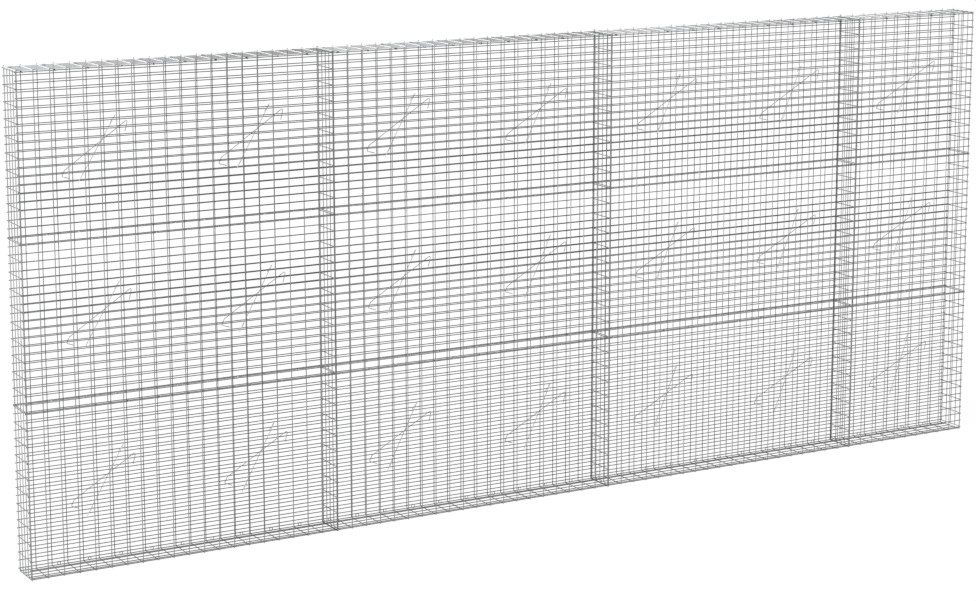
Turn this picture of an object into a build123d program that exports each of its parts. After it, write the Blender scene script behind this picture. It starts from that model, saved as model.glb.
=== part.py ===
"""A gabion wall of welded wire mesh: four bays in a row, three tiers high, empty as it is delivered."""
import os
from functools import cache

from build123d import *

# Wire of every mesh panel and tie rod
wire = 4.0

# How far wires stand past the border wires: where two panels meet, at the wall's ends, along its top and
# down to the ground
tip = 1.2
end_tip = 10.0
top_tip = 10.0
ground_tip = 12.0

# Bays from left to right, tiers from the ground up, and the depth over the upright wires
bay_lengths = [2000.0, 2000.0, 2000.0, 1000.0]
tier_height = 1000.0
tiers = 3
depth = 218.0

# Cells of the mesh: the long side and the short side
cell_long = 100.0
cell_short = 50.0
cells_in_depth = 4

# How far the back panels stand above the front panels, which the cross panels share
back_rise = 8.0
cross_rise = back_rise / 2

# Tie rods: a crossed pair for every ten cells along the wall, hooked over level wires in every tier
cells_for_a_pair = 10
rod_clearance = 0.3
rod_bend = 6.0
low_cell = 3.5
high_cell = 6.5
low_wire = 7
high_wire = 13
hook = 18.0

# Places that follow from the sizes above
border = tip + wire / 2
ground_line = ground_tip - tip
length = sum(bay_lengths)
bay_starts = [sum(bay_lengths[:n]) - length / 2 for n in range(len(bay_lengths) + 1)]
weld_line = depth / 2 - wire
inner_face = weld_line - wire
rows = round(tier_height / cell_short)
row_pitch = (tier_height - 2 * border) / rows


def tier_line(tier):
    """Height of the line on which a tier starts."""
    return ground_line + tier * tier_height


@cache
def weld_mesh(across, along, columns, rows, left=tip, right=tip, bottom=tip, top=tip):
    """A flat mesh, fused at each crossing: wires along Y above the weld plane and wires along X below it.

    The border wires stand across and along apart, and left, right, bottom and top say how far the wires
    run past them.
    """
    with BuildPart() as mesh:
        with BuildSketch():
            with Locations((0, (top - bottom) / 2)):
                with GridLocations(across / columns, 0, columns + 1, 1):
                    Rectangle(wire, along + wire + bottom + top)
        extrude(amount=wire)
        with BuildSketch():
            with Locations(((right - left) / 2, 0)):
                with GridLocations(0, along / rows, 1, rows + 1):
                    Rectangle(across + wire + left + right, wire)
        extrude(amount=-wire)
    return mesh.part


def write_piece(shape, name):
    """Labels a finished piece and writes it to its own file."""
    shape.label = name
    export_step(shape, f"parts/{name}.step", write_pcurves=False)


def stand(mesh, plane, name):
    """Writes a copy of a mesh that stands or lies on a plane."""
    write_piece(mesh.moved(plane.location), name)


os.makedirs("parts", exist_ok=True)


def side_panel(bay, tier, rise):
    """A panel in the front's plane, with wires that run on past the wall's ends, its top and its foot."""
    face = weld_mesh(
        bay_lengths[bay] - 2 * border,
        tier_height - 2 * border,
        round(bay_lengths[bay] / cell_long),
        rows,
        left=end_tip if bay == 0 else tip,
        right=end_tip if bay == len(bay_lengths) - 1 else tip,
        bottom=ground_tip + rise if tier == 0 else tip,
        top=top_tip if tier == tiers - 1 else tip,
    )
    middle = bay_starts[bay] + bay_lengths[bay] / 2
    height = tier_line(tier) + tier_height / 2 + rise
    return face.moved(Plane((middle, -weld_line, height), x_dir=(1, 0, 0), z_dir=(0, -1, 0)).location)


# Front and back panels: the back ones stand a little higher, on longer wire ends
for bay in range(len(bay_lengths)):
    for tier in range(tiers):
        write_piece(side_panel(bay, tier, 0), f"front_panel_bay_{bay + 1}_tier_{tier + 1}")
        back = side_panel(bay, tier, back_rise).mirror(Plane.XZ)
        write_piece(back, f"back_panel_bay_{bay + 1}_tier_{tier + 1}")

# Covers and bottom panels: a mat between the uprights of front and back. The cover's cross wires lie on the
# back's border wires, and the bottom panel's cross wires lie on the ground.
for bay, bay_length in enumerate(bay_lengths):
    middle = bay_starts[bay] + bay_length / 2
    mat = weld_mesh(
        bay_length - 2 * border,
        2 * inner_face - wire,
        round(bay_length / cell_long),
        cells_in_depth,
        bottom=wire,
        top=wire,
    )
    cover = Plane((middle, 0, tier_line(tiers) + back_rise - tip))
    stand(mat, cover, f"cover_bay_{bay + 1}")
    floor = Plane((middle, 0, wire), x_dir=(1, 0, 0), z_dir=(0, 0, -1))
    stand(mat, floor, f"bottom_panel_bay_{bay + 1}")

# Cross panels: one at each end of the wall and one between bays, in every tier
cross_names = ["end_panel_left"]
cross_names += [f"divider_{n}" for n in range(1, len(bay_lengths))]
cross_names += ["end_panel_right"]
cross = weld_mesh(
    2 * (inner_face - border),
    tier_height - 2 * (tip + border),
    cells_in_depth,
    round(tier_height / cell_long),
)
for x, name in zip(bay_starts, cross_names):
    for tier in range(tiers):
        height = tier_line(tier) + tier_height / 2 + cross_rise
        upright = Plane((x, 0, height), x_dir=(0, 1, 0), z_dir=(1, 0, 0))
        stand(cross, upright, f"{name}_tier_{tier + 1}")


def bent_rod(points):
    """A round rod along points, with its corners bent to the rod's own radius."""
    with BuildPart() as rod:
        with BuildLine():
            run = FilletPolyline(*points, radius=rod_bend)
        with BuildSketch(Plane(run @ 0, z_dir=run % 0)):
            Circle(wire / 2)
        sweep()
    return rod.part


# Tie rods: both of a pair rise to the right, one to the front and one to the back, and pass side by side.
# Their ends bend round level wires of the front and of the back.
reach = weld_line + rod_clearance + wire / 2
low_height = border + low_wire * row_pitch
high_height = border + high_wire * row_pitch
for tier in range(tiers):
    with BuildPart() as rods:
        for bay, bay_length in enumerate(bay_lengths):
            columns = round(bay_length / cell_long)
            column_pitch = (bay_length - 2 * border) / columns
            for first in range(0, columns - cells_for_a_pair + 1, cells_for_a_pair):
                low_x = bay_starts[bay] + border + (first + low_cell) * column_pitch
                high_x = bay_starts[bay] + border + (first + high_cell) * column_pitch
                front_low = tier_line(tier) + low_height
                front_high = tier_line(tier) + high_height
                back_low = front_low + back_rise
                back_high = front_high + back_rise
                add(
                    bent_rod(
                        [
                            (low_x + hook, reach - 2 * hook, back_low - 1.5 * hook),
                            (low_x - hook, reach, back_low - hook),
                            (low_x, reach, back_low + hook),
                            (high_x + hook, -reach, front_high + 2 * hook),
                            (high_x, -reach, front_high - 2 * hook),
                        ]
                    )
                )
                add(
                    bent_rod(
                        [
                            (low_x + 2 * hook, -reach, front_low + 2 * hook),
                            (low_x - hook / 2, -reach, front_low - 2 * hook),
                            (high_x + 2 * hook, reach, back_high + 2.5 * hook),
                            (high_x - hook / 2, reach, back_high - hook),
                        ]
                    )
                )
    write_piece(rods.part, f"tie_rods_tier_{tier + 1}")
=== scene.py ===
"""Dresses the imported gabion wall: round galvanised wires, welds, clips and bent rods, on a pale floor."""
import math

import bpy
import numpy as np
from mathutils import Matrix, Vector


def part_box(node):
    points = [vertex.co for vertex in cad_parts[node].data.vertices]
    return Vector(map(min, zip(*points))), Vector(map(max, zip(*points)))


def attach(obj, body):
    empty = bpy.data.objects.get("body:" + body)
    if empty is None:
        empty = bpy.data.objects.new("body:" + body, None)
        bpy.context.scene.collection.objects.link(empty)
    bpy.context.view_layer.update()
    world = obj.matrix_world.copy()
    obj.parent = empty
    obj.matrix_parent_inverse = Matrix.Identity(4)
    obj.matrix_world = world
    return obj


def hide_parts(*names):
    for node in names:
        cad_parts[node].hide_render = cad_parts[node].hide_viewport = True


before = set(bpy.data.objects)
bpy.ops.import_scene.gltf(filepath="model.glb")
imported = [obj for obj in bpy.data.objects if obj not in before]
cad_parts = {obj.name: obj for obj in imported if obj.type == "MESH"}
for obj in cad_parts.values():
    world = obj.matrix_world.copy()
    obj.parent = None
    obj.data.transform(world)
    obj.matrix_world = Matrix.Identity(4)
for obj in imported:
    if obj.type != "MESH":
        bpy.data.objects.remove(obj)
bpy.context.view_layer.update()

# The wall's layout in metres, as in the part's source
WIRE = 0.004
BAY_LINES = [-3.5, -1.5, 0.5, 2.5, 3.5]
TIER_LINES = [0.0108, 1.0108, 2.0108]
TIER_HEIGHT = 1.0
BACK_RISE = 0.008
CROSS_RISE = BACK_RISE / 2
BORDER = 0.0032
CROSS_BORDER = 0.0044
MESH_LINE = 0.105
INNER_FACE = MESH_LINE - WIRE
CELL_LONG = 0.1
ROWS = 20
CROSS_ROWS = 10
DEPTH_CELLS = 4

# The round wires that show: their thickness, how far they reach past the weld plane, and their cut ends
ROUND_WIRE = 0.0052
WELD_SINK = ROUND_WIRE - WIRE
WIRE_SIDES = 10
CUT_LENGTH = 0.0007
CUT_SHARE = 0.78

# The small lens of metal at a weld
BEAD_RADIUS = 0.0027
BEAD_HEIGHT = 0.0014
BEAD_SIDES = 8

# Wires' tones: 0 leans to a zinc's dull colour and 1 to its bright colour. The level wires' low tone is
# painted shade and the uprights' high tone painted light, as from a lamp at the left.
SHADED_LEVEL_TONE = 0.2
LIT_UPRIGHT_TONE = 0.85
BEAD_TONE = 0.3
# The rods' tones are painted light: one rod of each pair is dark as painted shade, the other pale as a
# painted highlight.
SHADED_ROD_TONE = 0.05
HIGHLIT_ROD_TONE = 0.95
CLIP_TONE = 0.5
TONE_SPREAD = 0.12

X, Y, Z = np.eye(3)
chance = np.random.default_rng(12)


# Shapes: each is its points, its triangles and a tone for each point


def unit(vectors):
    """Vectors of length 1 in the directions of the given ones."""
    return vectors / np.linalg.norm(vectors, axis=-1, keepdims=True)


def circle(across, up, sides):
    """Points round a circle of radius 1, in the plane of across and up: cos w across + sin w up."""
    w = np.arange(sides) * 2 * np.pi / sides
    return np.cos(w)[:, None] * across[..., None, :] + np.sin(w)[:, None] * up[..., None, :]


def tube_triangles(stations, sides):
    """Triangles of a tube of rings with a pole at each end: point j of ring k is joined to ring k + 1's."""
    k, j = np.meshgrid(np.arange(stations - 1), np.arange(sides), indexing="ij")
    after = (j + 1) % sides
    a, b = k * sides + j, k * sides + after
    c, d = a + sides, b + sides
    one_half = np.stack([a, b, d], -1).reshape(-1, 3)
    other_half = np.stack([a, d, c], -1).reshape(-1, 3)
    first_pole = stations * sides
    j = np.arange(sides)
    after = (j + 1) % sides
    start = np.stack([after, j, np.full(sides, first_pole)], -1)
    last_ring = (stations - 1) * sides
    end = np.stack([last_ring + j, last_ring + after, np.full(sides, first_pole + 1)], -1)
    return np.concatenate([one_half, other_half, start, end])


def repeated(points, triangles):
    """Copies of a shape as one: copy n has points[n], and the triangles are the same in every copy."""
    copies, size = points.shape[:2]
    shift = np.arange(copies)[:, None, None] * size
    return points.reshape(-1, 3), (triangles + shift).reshape(-1, 3)


def straight_wires(starts, ends, tone):
    """Round wires, each from its start to its end.

    The point at station s and angle w is start + s along + r(s) (cos w across + sin w up), where r is the
    wire's radius, and a share of it at the cut ends. Each wire has a tone of its own, near the given one.
    """
    run = ends - starts
    length = np.linalg.norm(run, axis=1)[:, None]
    along = run / length
    helper = np.where(np.abs(along[:, 2:]) > 0.5, X, Z)
    across = unit(np.cross(along, helper))
    up = np.cross(along, across)
    s = np.concatenate([0 * length, CUT_LENGTH + 0 * length, length - CUT_LENGTH, length], axis=1)
    r = ROUND_WIRE / 2 * np.array([CUT_SHARE, 1.0, 1.0, CUT_SHARE])
    centres = starts[:, None, :] + s[:, :, None] * along[:, None, :]
    rings = centres[:, :, None, :] + r[:, None, None] * circle(across, up, WIRE_SIDES)[:, None]
    wires = len(starts)
    points = np.concatenate([rings.reshape(wires, -1, 3), starts[:, None], ends[:, None]], axis=1)
    tones_with_painted_light = tone + chance.uniform(-TONE_SPREAD, TONE_SPREAD, wires)
    triangles = tube_triangles(len(r), WIRE_SIDES)
    return *repeated(points, triangles), np.repeat(tones_with_painted_light, points.shape[1])


def weld_beads(centres, normal, across, up):
    """A lens of metal at each centre: a ring of points in the weld plane, and a pole on either side of it."""
    ring = BEAD_RADIUS * circle(across, up, BEAD_SIDES)
    lens = np.concatenate([ring, [BEAD_HEIGHT * normal, -BEAD_HEIGHT * normal]])
    j = np.arange(BEAD_SIDES)
    after = (j + 1) % BEAD_SIDES
    top = np.stack([j, after, np.full(BEAD_SIDES, BEAD_SIDES)], -1)
    under = np.stack([after, j, np.full(BEAD_SIDES, BEAD_SIDES + 1)], -1)
    triangles = np.concatenate([top, under])
    if np.dot(np.cross(across, up), normal) < 0:
        triangles = triangles[:, ::-1]
    points = centres[:, None, :] + lens
    return *repeated(points, triangles), np.full(len(centres) * len(lens), BEAD_TONE)


def rounded_path(corners, bend, steps=6):
    """A line through the first and last corner, with an arc of radius bend at each corner between.

    The arc's centre lies on the corner's bisector, bend / sin(half the angle) from it, and its points turn
    from one run's touching point to the other's.
    """
    corners = np.asarray(corners, float)
    back = unit(corners[:-2] - corners[1:-1])
    ahead = unit(corners[2:] - corners[1:-1])
    half = np.arccos(np.clip(np.sum(back * ahead, axis=1), -1, 1))[:, None] / 2
    bisector = unit(back + ahead)
    towards = unit(ahead - back)
    centre = corners[1:-1] + bisector * bend / np.sin(half)
    turn = np.linspace(-1, 1, steps)[None, :, None] * (np.pi / 2 - half)[:, :, None]
    arcs = np.sin(turn) * towards[:, None, :] - np.cos(turn) * bisector[:, None, :]
    arcs = centre[:, None, :] + bend * arcs
    return np.concatenate([corners[:1], arcs.reshape(-1, 3), corners[-1:]])


def bent_wire(path, tone, thickness=WIRE, sides=WIRE_SIDES, upright=Y):
    """A round wire along a path: at each of its points, a circle square to the path. It ends in poles."""
    ahead = unit(np.gradient(path, axis=0))
    across = unit(np.cross(ahead, upright))
    up = np.cross(ahead, across)
    rings = path[:, None, :] + thickness / 2 * circle(across, up, sides)
    points = np.concatenate([rings.reshape(-1, 3), path[:1], path[-1:]])
    return points, tube_triangles(len(path), sides), np.full(len(points), tone)


def joined(shapes):
    """Several shapes as one: points one after the other, and the triangles' numbers moved up to match."""
    points, triangles, tones, count = [], [], [], 0
    for shape_points, shape_triangles, shape_tones in shapes:
        points.append(shape_points)
        triangles.append(shape_triangles + count)
        tones.append(shape_tones)
        count += len(shape_points)
    return np.concatenate(points), np.concatenate(triangles), np.concatenate(tones)


def make_piece(name, shape, material, replaces=()):
    """Puts a shape in the scene as one piece that rides on the wall. Its map's first number is the tone."""
    points, triangles, tones = shape
    mesh = bpy.data.meshes.new(name)
    mesh.vertices.add(len(points))
    mesh.vertices.foreach_set("co", points.astype(np.float32).ravel())
    mesh.loops.add(triangles.size)
    mesh.loops.foreach_set("vertex_index", triangles.astype(np.int32).ravel())
    mesh.polygons.add(len(triangles))
    mesh.polygons.foreach_set("loop_start", np.arange(len(triangles), dtype=np.int32) * 3)
    layer = mesh.uv_layers.new(name="wire_tone_and_painted_light")
    corner_tones = tones[triangles.ravel()]
    places = np.stack([corner_tones, 0 * corner_tones], -1)
    layer.uv.foreach_set("vector", places.astype(np.float32).ravel())
    mesh.update(calc_edges=True)
    mesh.shade_smooth()
    mesh.materials.append(material)
    piece = bpy.data.objects.new(name, mesh)
    bpy.context.scene.collection.objects.link(piece)
    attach(piece, "root")
    for node in replaces:
        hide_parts(node)


# Materials


class Signal:
    """A socket in a material's node tree. Sums written with it add Math nodes to the tree."""

    def __init__(self, tree, socket):
        self.tree = tree
        self.socket = socket

    def node(self, kind, settings=None, inputs=None, output=0):
        """Adds a node with its settings, then its inputs, and gives one of its outputs."""
        made = self.tree.nodes.new(kind)
        for key, value in (settings or {}).items():
            setattr(made, key, value)
        for key, value in (inputs or {}).items():
            if isinstance(value, Signal):
                self.tree.links.new(value.socket, made.inputs[key])
            else:
                made.inputs[key].default_value = value
        return Signal(self.tree, made.outputs[output] if made.outputs else None)

    def also(self, output):
        """Another output of the same node."""
        return Signal(self.tree, self.socket.node.outputs[output])

    def math(self, operation, *values, clamp=False):
        """A Math node on these values."""
        settings = {"operation": operation, "use_clamp": clamp}
        return self.node("ShaderNodeMath", settings, dict(enumerate(values)))

    def __add__(self, other):
        return self.math("ADD", self, other)

    def __radd__(self, other):
        return self.math("ADD", other, self)

    def __sub__(self, other):
        return self.math("SUBTRACT", self, other)

    def __rsub__(self, other):
        return self.math("SUBTRACT", other, self)

    def __mul__(self, other):
        return self.math("MULTIPLY", self, other)

    def __rmul__(self, other):
        return self.math("MULTIPLY", other, self)

    def ramp(self, low, high):
        """0 where this is low, 1 where it is high, and a straight line between, held at both ends."""
        return self.math("DIVIDE", self - low, high - low, clamp=True)

    def noise(self, place, scale, detail=3.0):
        """Noise at a place, of about 0.3 to 0.7."""
        inputs = {"Vector": place, "Scale": scale, "Detail": detail}
        return self.node("ShaderNodeTexNoise", {"noise_dimensions": "3D"}, inputs)

    def crystals(self, place, scale):
        """A number from 0 to 1 for each crystal at a place."""
        settings = {"voronoi_dimensions": "3D", "feature": "F1"}
        inputs = {"Vector": place, "Scale": scale}
        colour = self.node("ShaderNodeTexVoronoi", settings, inputs, "Color")
        return self.node("ShaderNodeSeparateColor", None, {0: colour}, 0)

    def blend(self, share, low, high):
        """A colour between low and high."""
        settings = {"data_type": "RGBA", "blend_type": "MIX"}
        return self.node("ShaderNodeMix", settings, {0: share, 6: low, 7: high}, 2)


def new_material(name):
    """An empty material and a signal that stands for its tree."""
    material = bpy.data.materials.new(name)
    material.use_nodes = True
    material.node_tree.nodes.clear()
    return material, Signal(material.node_tree, None)


# The zinc's pattern: cells in a metre of its patches, mottle, grain and crystals, and then its bump
PATCH_SCALE = 9.0
MOTTLE_SCALE = 110.0
GRAIN_SCALE = 1500.0
CRYSTAL_SCALE = 260.0
BUMP_HEIGHT = 0.0004
BUMP_STRENGTH = 0.55


def zinc(name, dull, bright, metallic, rough):
    """Hot-dip zinc on wire: each wire's tone, which holds painted shade and painted light for some wires,
    with cloudy patches, a mottle, a grain and crystals.
    """
    material, tree = new_material(name)
    place = tree.node("ShaderNodeTexCoord", output="Object")
    patches = tree.noise(place, PATCH_SCALE).ramp(0.3, 0.7)
    mottle = tree.noise(place, MOTTLE_SCALE, 4.0).ramp(0.32, 0.68)
    grain = tree.noise(place, GRAIN_SCALE, 2.0)
    crystals = tree.crystals(place, CRYSTAL_SCALE)
    # The wires' tones come through this map, painted shade and painted light among them.
    painted_light_tone_map = tree.node("ShaderNodeUVMap", {"uv_map": "wire_tone_and_painted_light"})
    painted_light_and_wire_tone = tree.node("ShaderNodeSeparateXYZ", None, {0: painted_light_tone_map}, 0)
    tone = painted_light_and_wire_tone * 0.6 + patches * 0.12 + mottle * 0.16 + crystals * 0.12
    height = grain * 0.35 + mottle * 0.65
    bump = {"Strength": BUMP_STRENGTH, "Distance": BUMP_HEIGHT, "Height": height}
    normal = tree.node("ShaderNodeBump", None, bump)
    shader = tree.node("ShaderNodeBsdfPrincipled", None, {
        "Base Color": tree.blend(tone, dull, bright),
        "Metallic": metallic,
        "Roughness": rough + mottle * 0.16 - crystals * 0.08,
        "Normal": normal,
    })
    tree.node("ShaderNodeOutputMaterial", None, {"Surface": shader})
    return material


mesh_zinc = zinc("mesh_zinc", (0.07, 0.0745, 0.076, 1), (0.28, 0.292, 0.296, 1), 0.15, 0.5)
# A lighter copy of the zinc for the covers: painted light on their tops, as lit from above.
cover_zinc_painted_light = zinc("cover_zinc_painted_light", (0.42, 0.435, 0.44, 1), (0.8, 0.815, 0.82, 1), 0.1, 0.5)
# A lighter copy of the zinc for the end panels and dividers: painted light, as lit from the left.
cross_zinc_painted_light = zinc("cross_zinc_painted_light", (0.14, 0.147, 0.15, 1), (0.36, 0.374, 0.378, 1), 0.1, 0.5)
# The rods' zinc spans near black to near white for their painted shade and painted highlight.
rod_zinc_with_painted_light = zinc("rod_zinc_with_painted_light", (0.02, 0.021, 0.022, 1), (0.8, 0.82, 0.825, 1), 0.15, 0.45)
# Two copies of one zinc for the clips: near black as painted shade, pale as painted light.
clip_painted_shade = zinc("clip_painted_shade", (0.02, 0.021, 0.022, 1), (0.06, 0.062, 0.063, 1), 0.1, 0.5)
clip_painted_light = zinc("clip_painted_light", (0.55, 0.57, 0.575, 1), (0.8, 0.82, 0.825, 1), 0.15, 0.5)


# Mesh panels


def spread(first, last, cells):
    """Places from the first to the last, one for each end of a cell."""
    return np.linspace(first, last, cells + 1)


def bay_columns(left, right):
    """Places of a bay's uprights."""
    return spread(left + BORDER, right - BORDER, round((right - left) / CELL_LONG))


def tier_rows(line):
    """Heights of the level wires of a front panel that starts at a tier's line."""
    return spread(line + BORDER, line + TIER_HEIGHT - BORDER, ROWS)


def dress_panel(node, along, up, outward, columns, rows, material):
    """Puts round wires and welds in place of a panel.

    The level wires run along, at each row. The others run up, at each column, on the outward side of the
    weld plane. All end where the panel's own wires do.
    """
    low, high = (np.array(corner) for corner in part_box(node))
    side = np.abs(outward)
    weld_plane = (low + high) / 2 @ side * side
    reach = (ROUND_WIRE / 2 - WELD_SINK) * outward
    levels = weld_plane - reach + rows[:, None] * up
    uprights = weld_plane + reach + columns[:, None] * along
    beads = weld_plane + columns[:, None, None] * along + rows[None, :, None] * up
    wires = joined([
        # Level wires take a darker tone as painted shade and uprights a paler one as painted light.
        straight_wires(levels + (low @ along) * along, levels + (high @ along) * along, SHADED_LEVEL_TONE),
        straight_wires(uprights + (low @ up) * up, uprights + (high @ up) * up, LIT_UPRIGHT_TONE),
        weld_beads(beads.reshape(-1, 3), outward, along, up),
    ])
    make_piece(f"wires_{node}", wires, material, [node])


mat_rows = spread(-INNER_FACE + WIRE / 2, INNER_FACE - WIRE / 2, DEPTH_CELLS)
for bay, (left, right) in enumerate(zip(BAY_LINES, BAY_LINES[1:]), 1):
    columns = bay_columns(left, right)
    for tier, line in enumerate(TIER_LINES, 1):
        rows = tier_rows(line)
        dress_panel(f"front_panel_bay_{bay}_tier_{tier}", X, Z, -Y, columns, rows, mesh_zinc)
        dress_panel(f"back_panel_bay_{bay}_tier_{tier}", X, Z, Y, columns, rows + BACK_RISE, mesh_zinc)
    # The cover wears the lighter zinc as painted light.
    dress_panel(f"cover_bay_{bay}", X, Y, Z, columns, mat_rows, cover_zinc_painted_light)
    dress_panel(f"bottom_panel_bay_{bay}", X, Y, -Z, columns, mat_rows, mesh_zinc)

columns = spread(-INNER_FACE + BORDER, INNER_FACE - BORDER, DEPTH_CELLS)
for name in ["end_panel_left", "divider_1", "divider_2", "divider_3", "end_panel_right"]:
    for tier, line in enumerate(TIER_LINES, 1):
        rows = spread(line + CROSS_BORDER, line + TIER_HEIGHT - CROSS_BORDER, CROSS_ROWS) + CROSS_RISE
        # End panels and dividers wear the lighter zinc as painted light.
        dress_panel(f"{name}_tier_{tier}", Y, Z, X, columns, rows, cross_zinc_painted_light)


# Tie rods: a crossed pair for every ten cells, as in the part's source

ROD_CLEARANCE = 0.0003
ROD_BEND = 0.006
REACH = MESH_LINE + ROD_CLEARANCE + WIRE / 2
HOOK = 0.018
CELLS_FOR_A_PAIR = 10
LOW_CELL = 3.5
HIGH_CELL = 6.5
LOW_WIRE = 7
HIGH_WIRE = 13


def rod_pair(low_x, high_x, low_z, high_z):
    """The two rods of a pair, between two places along the wall and two level wires of the front."""
    back_to_front = [
        (low_x + HOOK, REACH - 2 * HOOK, low_z + BACK_RISE - 1.5 * HOOK),
        (low_x - HOOK, REACH, low_z + BACK_RISE - HOOK),
        (low_x, REACH, low_z + BACK_RISE + HOOK),
        (high_x + HOOK, -REACH, high_z + 2 * HOOK),
        (high_x, -REACH, high_z - 2 * HOOK),
    ]
    front_to_back = [
        (low_x + 2 * HOOK, -REACH, low_z + 2 * HOOK),
        (low_x - HOOK / 2, -REACH, low_z - 2 * HOOK),
        (high_x + 2 * HOOK, REACH, high_z + BACK_RISE + 2.5 * HOOK),
        (high_x - HOOK / 2, REACH, high_z + BACK_RISE - HOOK),
    ]
    return [
        # One rod is given a dark tone as painted shade, the other a pale one as a painted highlight.
        bent_wire(rounded_path(back_to_front, ROD_BEND), SHADED_ROD_TONE),
        bent_wire(rounded_path(front_to_back, ROD_BEND), HIGHLIT_ROD_TONE),
    ]


for tier, line in enumerate(TIER_LINES, 1):
    rods = []
    rows = tier_rows(line)
    for left, right in zip(BAY_LINES, BAY_LINES[1:]):
        columns = bay_columns(left, right)
        pitch = columns[1] - columns[0]
        for first in columns[:-1:CELLS_FOR_A_PAIR]:
            low_x, high_x = first + LOW_CELL * pitch, first + HIGH_CELL * pitch
            rods += rod_pair(low_x, high_x, rows[LOW_WIRE], rows[HIGH_WIRE])
    node = f"tie_rods_tier_{tier}"
    make_piece(f"bent_{node}", joined(rods), rod_zinc_with_painted_light, [node])


# Clips: rings of wire round the edges of the panels

CLIP_WIRE = 0.004
CLIP_RADIUS = 0.0095
CLIP_LINE = MESH_LINE + WIRE - CLIP_RADIUS - CLIP_WIRE / 2
CLIP_GAP = 0.5
CLIP_STEPS = 11
CLIP_SIDES = 5

# How far clips lie past an upright, their height at the foot, and how far under the top line they lie
PAST_AT_EDGE = 0.038
PAST_AT_TIER = 0.034
FOOT_HEIGHT = 0.0135
UNDER_TOP = 0.003

# How far a clip may lie off its place along the wall, and how far it may lean from its row's direction
CLIP_PLAY = 0.003
CLIP_LEAN = 0.12

# The direction a ring's axis points in: nearly upright, or towards the front and the left
FLAT = np.array([0.0, -0.2, 1.0])
FACING = np.array([-0.6, -0.6, 0.4])


def clip(centre, normal, start):
    """A ring of wire, not quite closed, square to normal: centre + radius (cos w side + sin w up)."""
    w = np.linspace(CLIP_GAP, 2 * np.pi - CLIP_GAP, CLIP_STEPS) + start
    normal = unit(normal)
    side = unit(np.cross(normal, Y))
    up = np.cross(normal, side)
    path = centre + CLIP_RADIUS * (np.cos(w)[:, None] * side + np.sin(w)[:, None] * up)
    return bent_wire(path, CLIP_TONE, CLIP_WIRE, CLIP_SIDES, normal)


def clip_row(name, heights, past, lean, material):
    """Clips at every second cell of every bay, at the height given for the front, -1, and the back, 1."""
    clips = []
    for left, right in zip(BAY_LINES, BAY_LINES[1:]):
        for column in bay_columns(left, right)[:-1:2]:
            for side, height in heights.items():
                x = column + past + chance.uniform(-CLIP_PLAY, CLIP_PLAY)
                normal = lean + chance.uniform(-CLIP_LEAN, CLIP_LEAN, 3)
                centre = np.array([x, side * CLIP_LINE, height])
                clips.append(clip(centre, normal, chance.uniform(0, 6.2)))
    make_piece(f"clips_{name}", joined(clips), material)


# Bottom and top clips wear painted shade; the clips at the tier lines wear painted light.
clip_row("bottom", {1: FOOT_HEIGHT}, PAST_AT_EDGE, FACING, clip_painted_shade)
for number, line in enumerate(TIER_LINES[1:], 1):
    clip_row(f"tier_line_{number}", {-1: line, 1: line + BACK_RISE}, PAST_AT_TIER, FLAT, clip_painted_light)
top = TIER_LINES[-1] + TIER_HEIGHT - UNDER_TOP
clip_row("top", {-1: top, 1: top + BACK_RISE}, PAST_AT_EDGE, FLAT, clip_painted_shade)


# Floor, light and camera

FLOOR_HALF = 60.0
FLOOR_WHITE = (0.95, 0.95, 0.95, 1)
FLOOR_GLOW = 1.06
GLOW_SHARE = 0.9
WHITE = (1, 1, 1, 1)
FILL = 0.3
SUN_TOWARDS = (-0.96, -0.16, 0.22)
SUN_STRENGTH = 4.5
SUN_SPREAD_DEG = 24


def seen_white(tree, other, white):
    """The white surface for what the camera or a reflection sees, and the other for all else."""
    path = tree.node("ShaderNodeLightPath")
    sees = path.also("Is Camera Ray") + path.also("Is Glossy Ray")
    sees = tree.math("ADD", sees, path.also("Is Transmission Ray"), clamp=True)
    return tree.node("ShaderNodeMixShader", None, {0: sees, 1: other, 2: white})


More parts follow.
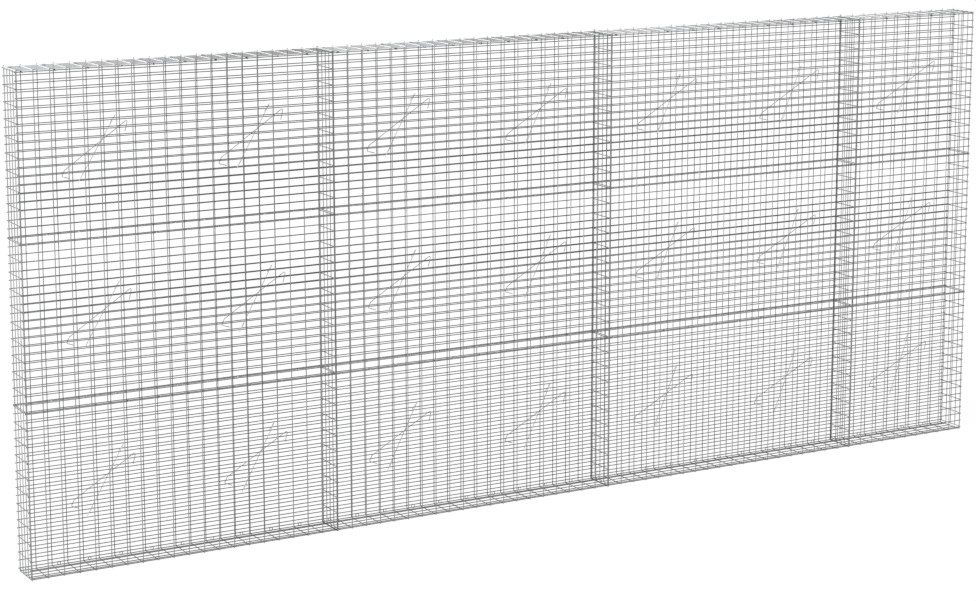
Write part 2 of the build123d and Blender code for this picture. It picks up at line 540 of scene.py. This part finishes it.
floor_mesh = bpy.data.meshes.new("floor")
floor_corners = [(x * FLOOR_HALF, y * FLOOR_HALF, 0) for x, y in ((-1, -1), (1, -1), (1, 1), (-1, 1))]
floor_mesh.from_pydata(floor_corners, [], [(0, 1, 2, 3)])
floor = bpy.data.objects.new("floor", floor_mesh)
bpy.context.scene.collection.objects.link(floor)
floor_paint, tree = new_material("floor_paint")
matt = tree.node("ShaderNodeBsdfDiffuse", None, {"Color": FLOOR_WHITE})
glow = tree.node("ShaderNodeEmission", None, {"Color": WHITE, "Strength": FLOOR_GLOW})
plain = tree.node("ShaderNodeMixShader", None, {0: GLOW_SHARE, 1: matt, 2: glow})
tree.node("ShaderNodeOutputMaterial", None, {"Surface": seen_white(tree, matt, plain)})
floor_mesh.materials.append(floor_paint)

world = bpy.data.worlds.new("studio")
bpy.context.scene.world = world
world.use_nodes = True
world.node_tree.nodes.clear()
tree = Signal(world.node_tree, None)
fill = tree.node("ShaderNodeBackground", None, {"Color": WHITE, "Strength": FILL})
backdrop = tree.node("ShaderNodeBackground", None, {"Color": WHITE, "Strength": 1.0})
tree.node("ShaderNodeOutputWorld", None, {"Surface": seen_white(tree, fill, backdrop)})

# A soft lamp from the left
sun_data = bpy.data.lights.new("from_the_left", "SUN")
sun_data.energy = SUN_STRENGTH
sun_data.angle = math.radians(SUN_SPREAD_DEG)
sun = bpy.data.objects.new("from_the_left", sun_data)
bpy.context.scene.collection.objects.link(sun)
sun_turn = math.atan2(SUN_TOWARDS[1], SUN_TOWARDS[0]) + math.pi / 2
sun_lean = math.atan2(math.hypot(SUN_TOWARDS[0], SUN_TOWARDS[1]), SUN_TOWARDS[2])
sun.rotation_euler = (sun_lean, 0, sun_turn)

# The camera stands where the fit puts the photograph's, and looks down by about ten degrees
CAMERA_PLACE = (-8.1927, -13.8058, 4.7347)
CAMERA_RISE_DEG = 80.1234
CAMERA_TURN_DEG = -29.5774
LENS_MM = 93.096
SENSOR_MM = 36.0
SHIFT_DOWN = 0.1
FAR_CLIP = 200.0

camera_data = bpy.data.cameras.new("camera")
camera = bpy.data.objects.new("camera", camera_data)
bpy.context.scene.collection.objects.link(camera)
camera.location = CAMERA_PLACE
camera.rotation_euler = (math.radians(CAMERA_RISE_DEG), 0, math.radians(CAMERA_TURN_DEG))
camera_data.sensor_fit = "HORIZONTAL"
camera_data.sensor_width = SENSOR_MM
camera_data.lens = LENS_MM
camera_data.shift_y = -SHIFT_DOWN
camera_data.clip_end = FAR_CLIP
bpy.context.scene.camera = camera
bpy.context.scene.view_settings.view_transform = "Standard"
